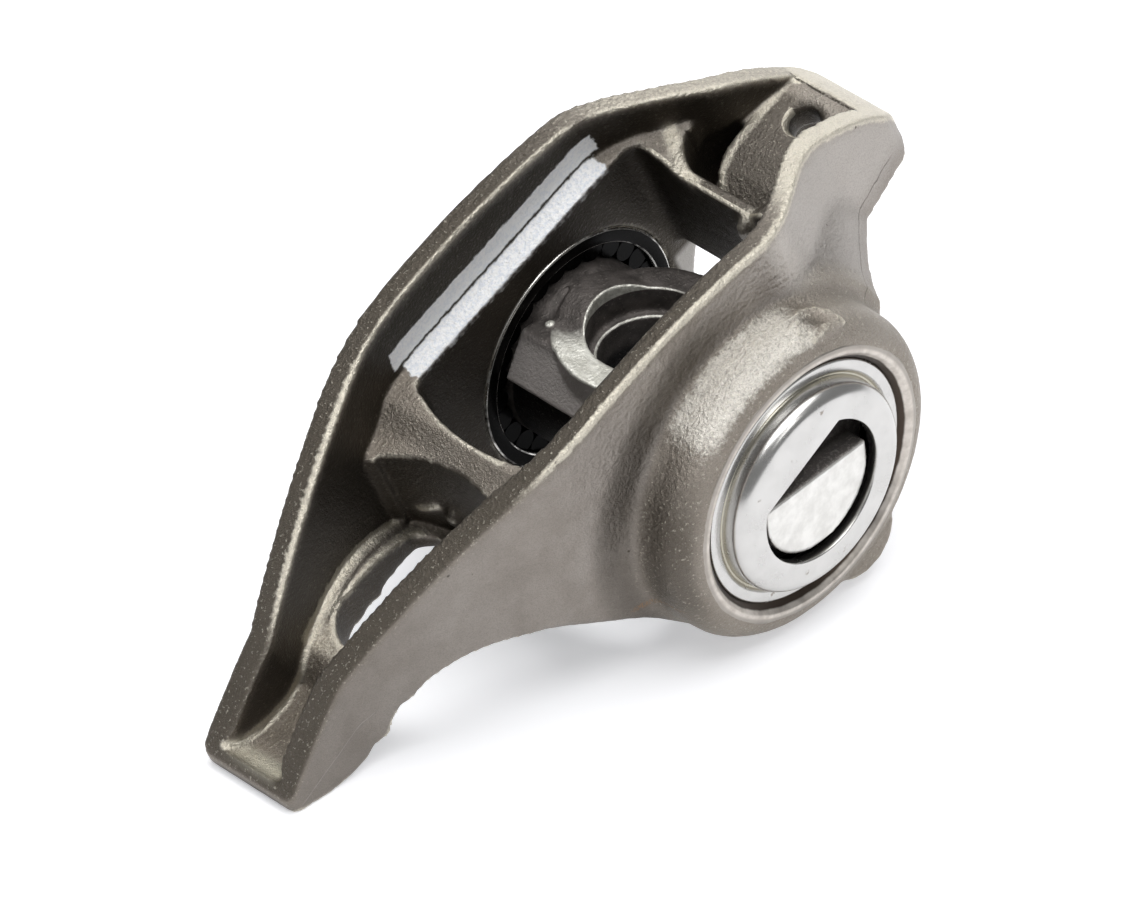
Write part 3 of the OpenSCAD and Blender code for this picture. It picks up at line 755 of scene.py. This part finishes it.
def mouth_mesh():
    """The machined mouths of both bores, each a thin ring let into its boss."""
    face, wide = BOSS_FACE, BORE_R + MOUTH
    profile = [(BORE_R, face - 4.5), (BORE_R, face - MOUTH - 0.05),
               (BORE_R + 0.05, face - MOUTH + 0.04), (wide - 0.06, face - 0.05),
               (wide + 0.04, face + 0.015), (11.42, face + 0.02), (11.65, face + 0.005),
               (11.85, face - 0.04), (12.0, face - 0.1), (12.0, face - 0.6), (11.2, face - 4.5)]
    ring, faces = lathe(profile, steps=240)
    count = len(ring)
    both = np.concatenate([ring * (1, side, 1) for side in (-1, 1)])
    faces = faces + [tuple(i + count for i in f) for f in faces]
    return mesh_from("bore_mouths", to_rest(both), faces)


def casting_extras(work):
    """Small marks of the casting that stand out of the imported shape."""
    # A raised seam in the corner between the far wall and the pad's floor
    bead(work, SEAM, 0.24)
    # The triangular mark on the near boss
    bead(work, [(6.93, -13.71, 12.21), (8.14, -14.11, 11.43), (8.63, -14.97, 10.9),
                (8.93, -15.64, 10.26), (7.27, -15.88, 11.27), (5.7, -16.2, 11.8)],
         [0.42, 0.5, 0.62, 0.8, 0.6, 0.35])
    bead(work, [(6.93, -13.71, 12.25), (5.60, -15.21, 12.66), (4.67, -16.2, 12.2)], [0.4, 0.32, 0.28])
    # Lumps on the thin bar's near end and at the slot's end
    bead(work, CHUNK, [0.4, 0.7, 0.8, 0.45], sides=6)
    # The crisp ridge along the far side of the cup's boss
    bead(work, CUP_RIDGE, 0.34)
    bead(work, NIB, [0.3, 0.38, 0.3], sides=6)
    bead(work, [(-18.3, 3.4, 3.6), (-18.5, 3.1, 4.8), (-18.3, 2.8, 5.9)], [0.9, 0.95, 0.6])


def trued(points):
    """The casting as the photograph shows it: fuller walls, a deeper bead round the slot, lower edges
    that lie a little higher and a rounder pad."""
    s, y, t = points.T
    low = np.interp(s, UNDER_AT, UNDER)
    deep = half_width(s) - np.abs(y)
    free_above = np.where(s < -16.5, -20.0, np.where(s < 15.5, 12.7, 9.5))
    fuller = np.interp(s, (-20, -15), (0.62, 0.3)) * band(deep, 1.0, 2.9, 1.2)
    fuller = fuller * ramp(t - free_above, 0.8) * band(s, -44.5, 26, 1.5)
    lift = 0.95 * band(s, -32.8, -14.0, 3.0) * band(deep, -0.9, 2.7, 1.2) * (1 - ramp(t - low, 3.0))
    sink = np.interp(s, BEAD_AT, BEAD_SINK) * ramp(low + 1.6 - t, 2.5)
    sink = sink * band(s, -34.0, -18.3, 1.6) * ramp(deep - 2.1, 0.8)
    heel = 0.5 * band(s, -38.0, -35.2, 1.6) * ramp(5.2 - t, 1.2)
    toe = 0.35 * ramp(-44.4 - s, 1.6) * ramp(8.0 - t, 2.0)
    return np.stack([s, y - np.sign(y) * fuller, t + lift + heel - toe - sink], 1)


def round_casting(skin, sizes, bored):
    """Rounds and fillets the casting outside its bores, and gives it its cast surface."""
    skin.relax(sizes.round_passes, 1 - 0.9 * bored)
    # The hollows get larger fillets than the edges
    bend = skin.spread(skin.bend(skin.normals()), 2) / sizes.cell ** 2
    hollow = np.clip(skin.spread(ramp(-bend, 0.12), 3) * 1.8, 0, 1) * (1 - bored)
    skin.fill(sizes.fillet_passes, hollow)
    skin.points = trued(skin.points)
    # The lower edges of the walls are well rounded between the pad and the bosses. They are found as
    # the lowest points in slices of 0.25 mm
    s, y, t = skin.points.T
    slices = 400
    lowest = np.full(slices, 99.0)
    place = np.clip(((s + 50) / 100 * slices).astype(int), 0, slices - 1)
    np.minimum.at(lowest, place, t)
    under = band(t - lowest[place], -1, 1.5, 1.2) * band(s, -34.0, -13.0, 2.5) * (np.abs(y) > 4.5)
    skin.relax(sizes.under_passes, under, keep_size=False)
    # The bead round the slot sweeps without a kink
    s, y, t = skin.points.T
    below = np.interp(s, UNDER_AT, UNDER)
    swept = band(t, -9, below + 0.9, 0.8) * band(s, -34.5, -17.5, 1.5)
    skin.relax(60, swept * (half_width(s) - np.abs(y) > 2.0))
    # Casting waviness
    normals = skin.normals()
    wave = 0.03 * waves(skin.points, 4.5, 1) + 0.018 * waves(skin.points, 1.5, 2)
    grit = 0.012 * waves(skin.points, 0.55, 3)
    skin.points = skin.points + normals * (1 - bored)[:, None] * (wave + grit)[:, None]


def clear_mouths(skin):
    """Keeps the bores and the bosses' faces outside the machined mouths."""
    s, y, t = skin.points.T
    radius = np.maximum(np.hypot(s, t), 1e-6)
    face = np.abs(y)
    mouth = face - (BOSS_FACE - MOUTH)
    inner = BORE_R + np.where(mouth > -0.3, 0.45 + ramp(mouth, 1), 0.0)
    bore = (face > INNER_FACE + 0.4) & (radius < 11.9) & (radius > 9)
    grown = np.where(bore, np.maximum(radius, inner), radius)
    skin.points[:, 0] *= grown / radius
    skin.points[:, 2] *= grown / radius
    over = (face > BOSS_FACE - 0.5) & (radius < 12.0)
    skin.points[over, 1] = np.sign(y[over]) * np.minimum(face[over], BOSS_FACE - 0.04)
    set_points(skin.mesh, skin.points)


def rim_wear_and_highlight(s, y, up, deep):
    """How much wear and painted highlight the rim has, on the far wall's inner edge and on the near
    wall's outer edge.
    """
    far = 0.9 * band(deep, 1.75, 2.9, 0.3) * ramp(up + 0.1, 0.5)
    far = far * np.interp(s, (-44, -38, -34), (0.2, 0.35, 1))
    far = np.maximum(far, 0.42 * ramp(s - 4, 8) * ramp(up, 0.4))
    near = 0.8 * band(deep, -0.3, 0.4, 0.3) * ramp(s + 23, 8) * ramp(up + 0.1, 0.3)
    nose = 0.75 * ramp(s - 9, 6) * ramp(up, 0.4) * band(deep, 0.1, 2.0, 0.8)
    return np.maximum(np.where(y > 0, far, np.maximum(near, nose)), 0.6 * (s > 25.2))


def strip_wear_and_sheen(s, y, t, up, deep):
    """How much wear and painted sheen the strip of floor beside the slot has. It has a painted bright
    line on both sides.
    """
    floor = np.interp(s, UNDER_AT, UNDER)
    straight = np.abs(y) - np.interp(s, (SLOT_END, SLOT_WIDE[0]), (SLOT_R, SLOT_WIDE[1]))
    off_slot = np.where(s < SLOT_END, np.hypot(s - SLOT_END, y) - SLOT_R, straight)
    edge = band(off_slot, -0.3, 0.4, 0.3) * ramp(up - 0.2, 0.3) * (t > floor + 0.6)
    edge = np.maximum(edge, band(deep, 2.2, 2.7, 0.4) * (y > 0))
    return np.maximum(edge, 0.5 * ramp(up - 0.5, 0.3))


def store_layers(skin):
    """The casting's layers for its finish."""
    normals = skin.normals()
    span = np.linalg.norm(skin.points[skin.a] - skin.points[skin.b], axis=1)
    span = np.bincount(skin.a, span, skin.count) + np.bincount(skin.b, span, skin.count)
    span = span / skin.degree[:, 0]
    bend = skin.spread(skin.bend(normals) / span ** 2, 2)
    s, y, t = skin.points.T
    deep = half_width(s) - np.abs(y)
    up = normals[:, 2]
    ends = (s < -45.1) | (s > 25.0)
    on_rim = ramp(t - rim_height(s) + 0.9, 0.5) * np.maximum(band(deep, -0.5, 2.6, 0.4), ends)
    # The strip of floor beside the slot gets less painted shade than the walls
    strip = band(s, -35.0, -20.5, 1.5) * (t < np.interp(s, UNDER_AT, UNDER) + 2.8)
    # Edges and the rim are lighter with wear and painted highlights, and the strip beside the slot has
    # painted sheen
    worn_and_lit = ramp(bend, 1.1) * 0.8 * (1 - on_rim) + rim_wear_and_highlight(s, y, up, deep) * on_rim
    worn_and_lit = np.maximum(worn_and_lit, strip_wear_and_sheen(s, y, t, up, deep) * strip * 0.85)
    # Painted highlights along the lines on the casting
    marks = 0
    for path, reach, weight in HIGHLIGHT_LINES:
        marks = np.maximum(marks, weight * near_path(skin.points, trued(np.array(path)), reach))
    store(skin.mesh, "worn_and_lit", skin.spread(np.maximum(worn_and_lit, marks), 1))
    # The rim tops, which get painted dark reflections
    store(skin.mesh, "rim", skin.spread(on_rim * ramp(up - 0.2, 0.3), 2))
    # The hollows, which get painted shade
    store(skin.mesh, "hollow", ramp(skin.spread(np.clip(-bend, 0, 1.5), 3), 0.45))
    # Painted shade on the walls inside the trough, kept off the lines of painted highlight
    inside = ramp(deep - 1.0, 0.6) * ramp(0.66 - strip * 0.26 - up, 0.2) * (1 - on_rim)
    inside = inside * (1 - np.clip(marks * 1.6, 0, 1))
    store(skin.mesh, "inside", np.clip(skin.spread(inside, 2), 0, 1))
    radius = np.hypot(s, t)
    boss = band(radius, 0, 16.0, 1.0) * ramp(-deep - 0.3, 0.6)
    foot = band(radius, 14.6, 18.2, 1.4) * band(np.abs(y), 11.0, 12.6, 1.0) * ramp(5 - s, 6)
    flank = band(radius, 12.6, 17.8, 1.4) * ramp(np.abs(y) - 11.6, 1.0) * ramp(-7.5 - s, 4)
    flank = flank * ramp(t + 6, 6)
    shade = skin.spread(np.maximum(foot, flank), 6)
    store(skin.mesh, "shade", np.maximum(shade, near_path(skin.points, MARK_HOLLOW, 0.6)))
    # The upper left of the near boss's shoulder shines
    turn = np.degrees(np.arctan2(t, s))
    shine = band(radius, 12.9, 15.3, 1.5) * band(turn, 60, 119, 18) * ramp(-y - 11.8, 0.8)
    store(skin.mesh, "shine", skin.spread(shine, 5))
    store(skin.mesh, "grainy", skin.spread(np.clip(boss + on_rim + band(up, 0.6, 2, 0.2), 0, 1), 3))


def casting_mesh(sizes):
    """The casting with its marks, fillets and cast surface, in one skin."""
    mesh = welded_copy("arm_body", "arm_casting")
    change(mesh, casting_extras)
    skin = Skin(remeshed(mesh, sizes.cell))
    s, y, t = skin.points.T
    bored = band(np.hypot(s, t), 0, BORE_R + 0.8, 0.5) * band(np.abs(y), INNER_FACE + 0.3, 30, 0.4)
    round_casting(skin, sizes, bored)
    clear_mouths(skin)
    skin = Skin(thinned(skin.mesh, sizes.triangles))
    store_layers(skin)
    rest = to_rest(skin.points)
    rest[:, 2] = np.maximum(rest[:, 2], FLOOR_Z * MM)
    set_points(skin.mesh, rest)
    smooth_shading(skin.mesh)
    return skin.mesh


def trunnion_mesh(sizes):
    """The trunnion with its block's top run smoothly into the journals, in one skin."""
    mesh = welded_copy("trunnion", "trunnion_block")
    set_points(mesh, about_axis(to_rest(points_of(mesh)) / MM, -TRUNNION_TURN))
    skin = Skin(remeshed(mesh, sizes.trunnion_cell))
    s, y, t = skin.points.T
    around_bolt = np.hypot(s, y)
    turned = band(np.abs(y), 8.2, 30, 0.2)
    hole = band(around_bolt, 0, 5.4, 0.25)
    skin.relax(sizes.round_passes, 1 - 0.6 * np.maximum(turned, hole))
    # The block's top runs smoothly up into the bearings' journals
    share = ramp(np.abs(y) - 6.0, 2.4)
    share = share * share * (3 - 2 * share)
    journal = np.sqrt(np.maximum(JOURNAL_R ** 2 - s ** 2, 0))
    raised = np.maximum(journal - t, 0) * share * ramp(t - 5.6, 0.6) * (np.abs(y) < 8.4)
    skin.points[:, 2] = t + raised
    skin.relax(44, band(np.abs(y), 5.6, 8.8, 0.8) * ramp(t - 4.6, 1.0))
    normals = skin.normals()
    s, y, t = skin.points.T
    drop = np.exp(-((s - DROP[0]) ** 2 + (y - DROP[1]) ** 2) / 0.16) * (t > 5.5)
    skin.points = skin.points + normals * (0.3 * drop)[:, None]
    store(skin.mesh, "drop", drop)
    normals = skin.normals()
    rough = (1 - turned)[:, None]
    wave = 0.03 * waves(skin.points, 2.2, 5) + 0.014 * waves(skin.points, 0.6, 6)
    skin.points = skin.points + normals * rough * wave[:, None]
    normals = skin.normals()
    bend = skin.spread(skin.bend(normals) / sizes.trunnion_cell ** 2, 2)
    store(skin.mesh, "edge", ramp(bend, 1.6))
    set_points(skin.mesh, about_axis(skin.points, TRUNNION_TURN) * MM)
    smooth_shading(skin.mesh)
    return skin.mesh


# Settings
def size_of(name, words, value, low, high, **more):
    return bpy.props.FloatProperty(name=name, description=words, default=value, min=low, max=high,
                                   **more)


def count_of(name, words, value, low, high):
    return bpy.props.IntProperty(name=name, description=words, default=value, min=low, max=high)


def colour_of(name, words, value):
    return bpy.props.FloatVectorProperty(name=name, description=words, default=value, size=3,
                                         subtype="COLOR", min=0.0, max=1.0)


class CastSizes(bpy.types.PropertyGroup):
    """How finely the cast pieces are skinned, in millimetres and passes"""

    cell: size_of("Casting cell", "Cell of the casting's skin, in mm", 0.25, 0.2, 1.0)
    trunnion_cell: size_of("Trunnion cell", "Cell of the trunnion's skin, in mm", 0.2, 0.15, 0.6)
    triangles: count_of("Casting triangles", "Triangles of the casting's skin", 194000, 20000, 198000)
    round_passes: count_of("Edge rounding", "Passes that round every edge", 5, 0, 30)
    fillet_passes: count_of("Fillets", "Passes that fill the hollows", 10, 0, 90)
    under_passes: count_of("Lower edges", "Passes that round the walls' lower edges", 24, 0, 120)


class FinishColours(bpy.types.PropertyGroup):
    """Colours of the metals and of the marking paint"""

    steel: colour_of("Steel", "Plain cast steel", (0.325, 0.293, 0.262))
    steel_dark: colour_of("Dark steel", "Darker blotches of the cast steel", (0.278, 0.249, 0.220))
    steel_cool: colour_of("Cool steel", "Cooler, lighter areas of the cast steel", (0.46, 0.428, 0.395))
    # The darkest steel, for fine dark pits, and for painted shade and painted dark reflections
    scale: colour_of("Scale", "Scale and oil left in the hollows", (0.045, 0.037, 0.027))
    # Bright metal of edges with wear, and also the colour of painted highlights and glints
    worn_and_lit: colour_of("Worn edge", "Bright metal on the worn edges", (0.76, 0.71, 0.60))
    paint: colour_of("Paint", "Marking paint on the ledge and the wall", (1.0, 1.0, 1.0))
    paint_blue: colour_of("Paint mottle", "Bluish mottling in the paint", (0.55, 0.62, 0.74))
    trunnion: colour_of("Trunnion", "Dark pressed steel", (0.068, 0.060, 0.055))
    trunnion_light: colour_of("Light trunnion", "Lighter areas of the pressed steel",
                              (0.120, 0.106, 0.098))


class StudioValues(bpy.types.PropertyGroup):
    """Camera, lamps and surroundings"""

    camera_far: size_of("Camera distance", "Camera's distance from the trunnion", 1.0, 0.3, 3.0,
                        unit="LENGTH")
    lens: size_of("Lens", "Focal length in mm", 410.24, 50, 900)
    overhead: size_of("Overhead lamp", "Power of the large lamp above, in watts", 4.7, 0, 50)
    front: size_of("Front lamp", "Power of the lamp before the near side, in watts", 0.25, 0, 50)
    window: size_of("Window", "Power of the lamp behind, on the right, in watts", 0.65, 0, 50)
    behind: size_of("Screens behind", "Power of each white screen behind, in watts", 0.6, 0, 50)
    shine: size_of("White in reflections", "How much of the white backdrop metal shows", 0.12, 0, 1)
    world: size_of("Surroundings", "Brightness of the room", 0.16, 0, 2)


# Operators
class ROCKER_OT_casting(bpy.types.Operator):
    """Skin the arm's casting and machine the mouths of its bores"""

    bl_idname = "rocker.casting"
    bl_label = "Casting"

    def execute(self, context):
        scene = context.scene
        steel = cast_finish(scene.rocker_colours)
        piece = new_piece("arm_casting", casting_mesh(scene.rocker_sizes), "arm", steel)
        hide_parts("arm_body")
        new_piece("bore_mouths", mouth_mesh(), "arm", mouth_finish())
        return {"FINISHED"}


class ROCKER_OT_bearings(bpy.types.Operator):
    """Make both bearing shells and finish the needles"""

    bl_idname = "rocker.bearings"
    bl_label = "Bearings"

    def execute(self, context):
        steel = bearing_finish()
        for side, word in ((-1, "near"), (1, "far")):
            piece = new_piece("bearing_cup_" + word, shell_mesh(side), "arm", steel)
            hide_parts("bearing_shell_" + word)
        oily = needle_finish()
        for name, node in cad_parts.items():
            if name.startswith("needle_"):
                node.data.materials.clear()
                node.data.materials.append(oily)
        return {"FINISHED"}


class ROCKER_OT_trunnion(bpy.types.Operator):
    """Skin the trunnion with its land and bolt hole"""

    bl_idname = "rocker.trunnion"
    bl_label = "Trunnion"

    def execute(self, context):
        scene = context.scene
        steel = sintered_finish(scene.rocker_colours)
        mesh = trunnion_mesh(scene.rocker_sizes)
        piece = new_piece("trunnion_block", mesh, "trunnion", steel)
        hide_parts("trunnion")
        return {"FINISHED"}


def area_lamp(name, place, size, power):
    """A white lamp that looks at the trunnion's axis, its size in metres and its power in watts."""
    data = bpy.data.lights.new(name, "AREA")
    data.shape = "RECTANGLE"
    data.size, data.size_y = size
    data.energy = power
    lamp = bpy.data.objects.new(name, data)
    lamp.location = place
    lamp.rotation_euler = (-Vector(place)).to_track_quat("-Z", "Y").to_euler()
    bpy.context.scene.collection.objects.link(lamp)


def camera_at(values):
    """The photograph's camera, from its right, up and back directions."""
    right = Vector((0.70123764, -0.71292724, -0.00071589))
    up = Vector((0.43390831, 0.42599649, 0.79388322))
    back = Vector((-0.56567601, -0.55701143, 0.60806983))
    data = bpy.data.cameras.new("camera")
    data.sensor_width = 36.0
    data.lens = values.lens
    data.clip_start, data.clip_end = 0.05, 20.0
    camera = bpy.data.objects.new("camera", data)
    # The view's middle lies to the left of the trunnion and below it
    left, below = 0.007172, 0.00449
    place = back * values.camera_far - right * left - up * below
    turn = Matrix((right, up, back)).transposed().to_4x4()
    camera.matrix_world = Matrix.Translation(place) @ turn
    return camera


def floor_piece():
    """The pale floor. It is white to the camera and keeps the shadow."""
    size, low = 1.5, FLOOR_Z * MM
    corners = [(-size, -size, low), (size, -size, low), (size, size, low), (-size, size, low)]
    mesh = bpy.data.meshes.new("floor")
    mesh.from_pydata(corners, [], [(0, 1, 2, 3)])
    paint = Paint("floor_white")
    paint.feed(colour=(0.80, 0.80, 0.815), rough=0.9, metal=0.0, specular=0.0)
    path = paint.add("ShaderNodeLightPath")
    to_camera, to_metal = 0.46, 0.36
    seen = Wire(paint, path.outputs["Is Camera Ray"]) * to_camera
    seen = seen.highest(Wire(paint, path.outputs["Is Glossy Ray"]) * to_metal)
    glow = paint.add("ShaderNodeEmission", {}, {"Color": (0.965, 0.975, 1.0), "Strength": seen})
    both = paint.add("ShaderNodeAddShader", {}, {0: paint.surface.outputs[0], 1: glow.outputs[0]})
    paint.plug(paint.output.inputs[0], both.outputs[0])
    mesh.materials.append(paint.material)
    return bpy.data.objects.new("floor", mesh)


def room(values):
    """The surroundings: white to the camera, and dim to the metal, which shows a share of the white."""
    world = bpy.data.worlds.new("room")
    nodes = Nodes(world)
    path = nodes.add("ShaderNodeLightPath")
    shine = Wire(nodes, path.outputs["Is Glossy Ray"]) * values.shine
    share = Wire(nodes, path.outputs["Is Camera Ray"]).highest(shine)
    pale = nodes.add("ShaderNodeBackground", {}, {"Color": (0.97, 0.98, 1.0), "Strength": values.world})
    white = nodes.add("ShaderNodeBackground", {}, {"Color": (1.0, 1.0, 1.0), "Strength": 1.0})
    mixed = nodes.add("ShaderNodeMixShader", {}, {0: share, 1: pale.outputs[0], 2: white.outputs[0]})
    nodes.add("ShaderNodeOutputWorld", {}, {0: mixed.outputs[0]})
    return world


class ROCKER_OT_stage(bpy.types.Operator):
    """Set up the pale floor, the soft lamps and the camera"""

    bl_idname = "rocker.stage"
    bl_label = "Stage"

    def execute(self, context):
        scene = context.scene
        values = scene.rocker_studio
        scene.view_settings.view_transform = "Standard"
        camera = camera_at(values)
        scene.collection.objects.link(camera)
        scene.camera = camera
        floor = floor_piece()
        scene.collection.objects.link(floor)
        scene.world = room(values)
        area_lamp("overhead", (-0.03, -0.04, 0.60), (0.68, 0.64), values.overhead)
        area_lamp("front", (0.0, -0.47, 0.375), (0.24, 0.14), values.front)
        area_lamp("window", (0.44, 0.38, 0.36), (0.36, 0.36), values.window)
        area_lamp("behind_left", (-0.8, 0.55, 0.10), (0.5, 0.2), values.behind * 0.5)
        area_lamp("behind_right", (0.8, 0.55, 0.10), (0.5, 0.2), values.behind)
        return {"FINISHED"}


class ROCKER_PT_panel(bpy.types.Panel):
    """The operators and their settings"""

    bl_idname = "ROCKER_PT_panel"
    bl_label = "Rocker arm"
    bl_space_type = "VIEW_3D"
    bl_region_type = "UI"
    bl_category = "Rocker arm"

    def draw(self, context):
        for group, _ in GROUPS:
            settings = getattr(context.scene, group)
            box = self.layout.box()
            for name in settings.bl_rna.properties.keys():
                if name not in ("rna_type", "name"):
                    box.prop(settings, name)
        for operator in OPERATORS:
            self.layout.operator(operator.bl_idname)


OPERATORS = (ROCKER_OT_stage, ROCKER_OT_casting, ROCKER_OT_bearings, ROCKER_OT_trunnion)
GROUPS = (("rocker_sizes", CastSizes), ("rocker_colours", FinishColours),
          ("rocker_studio", StudioValues))


def register():
    for name, group in GROUPS:
        bpy.utils.register_class(group)
        setattr(bpy.types.Scene, name, bpy.props.PointerProperty(type=group))
    for operator in OPERATORS:
        bpy.utils.register_class(operator)
    bpy.utils.register_class(ROCKER_PT_panel)


def unregister():
    bpy.utils.unregister_class(ROCKER_PT_panel)
    for operator in reversed(OPERATORS):
        bpy.utils.unregister_class(operator)
    for name, group in reversed(GROUPS):
        delattr(bpy.types.Scene, name)
        bpy.utils.unregister_class(group)


def main():
    register()
    bpy.ops.rocker.stage()
    bpy.ops.rocker.casting()
    bpy.ops.rocker.bearings()
    bpy.ops.rocker.trunnion()


if __name__ == "__main__":
    main()
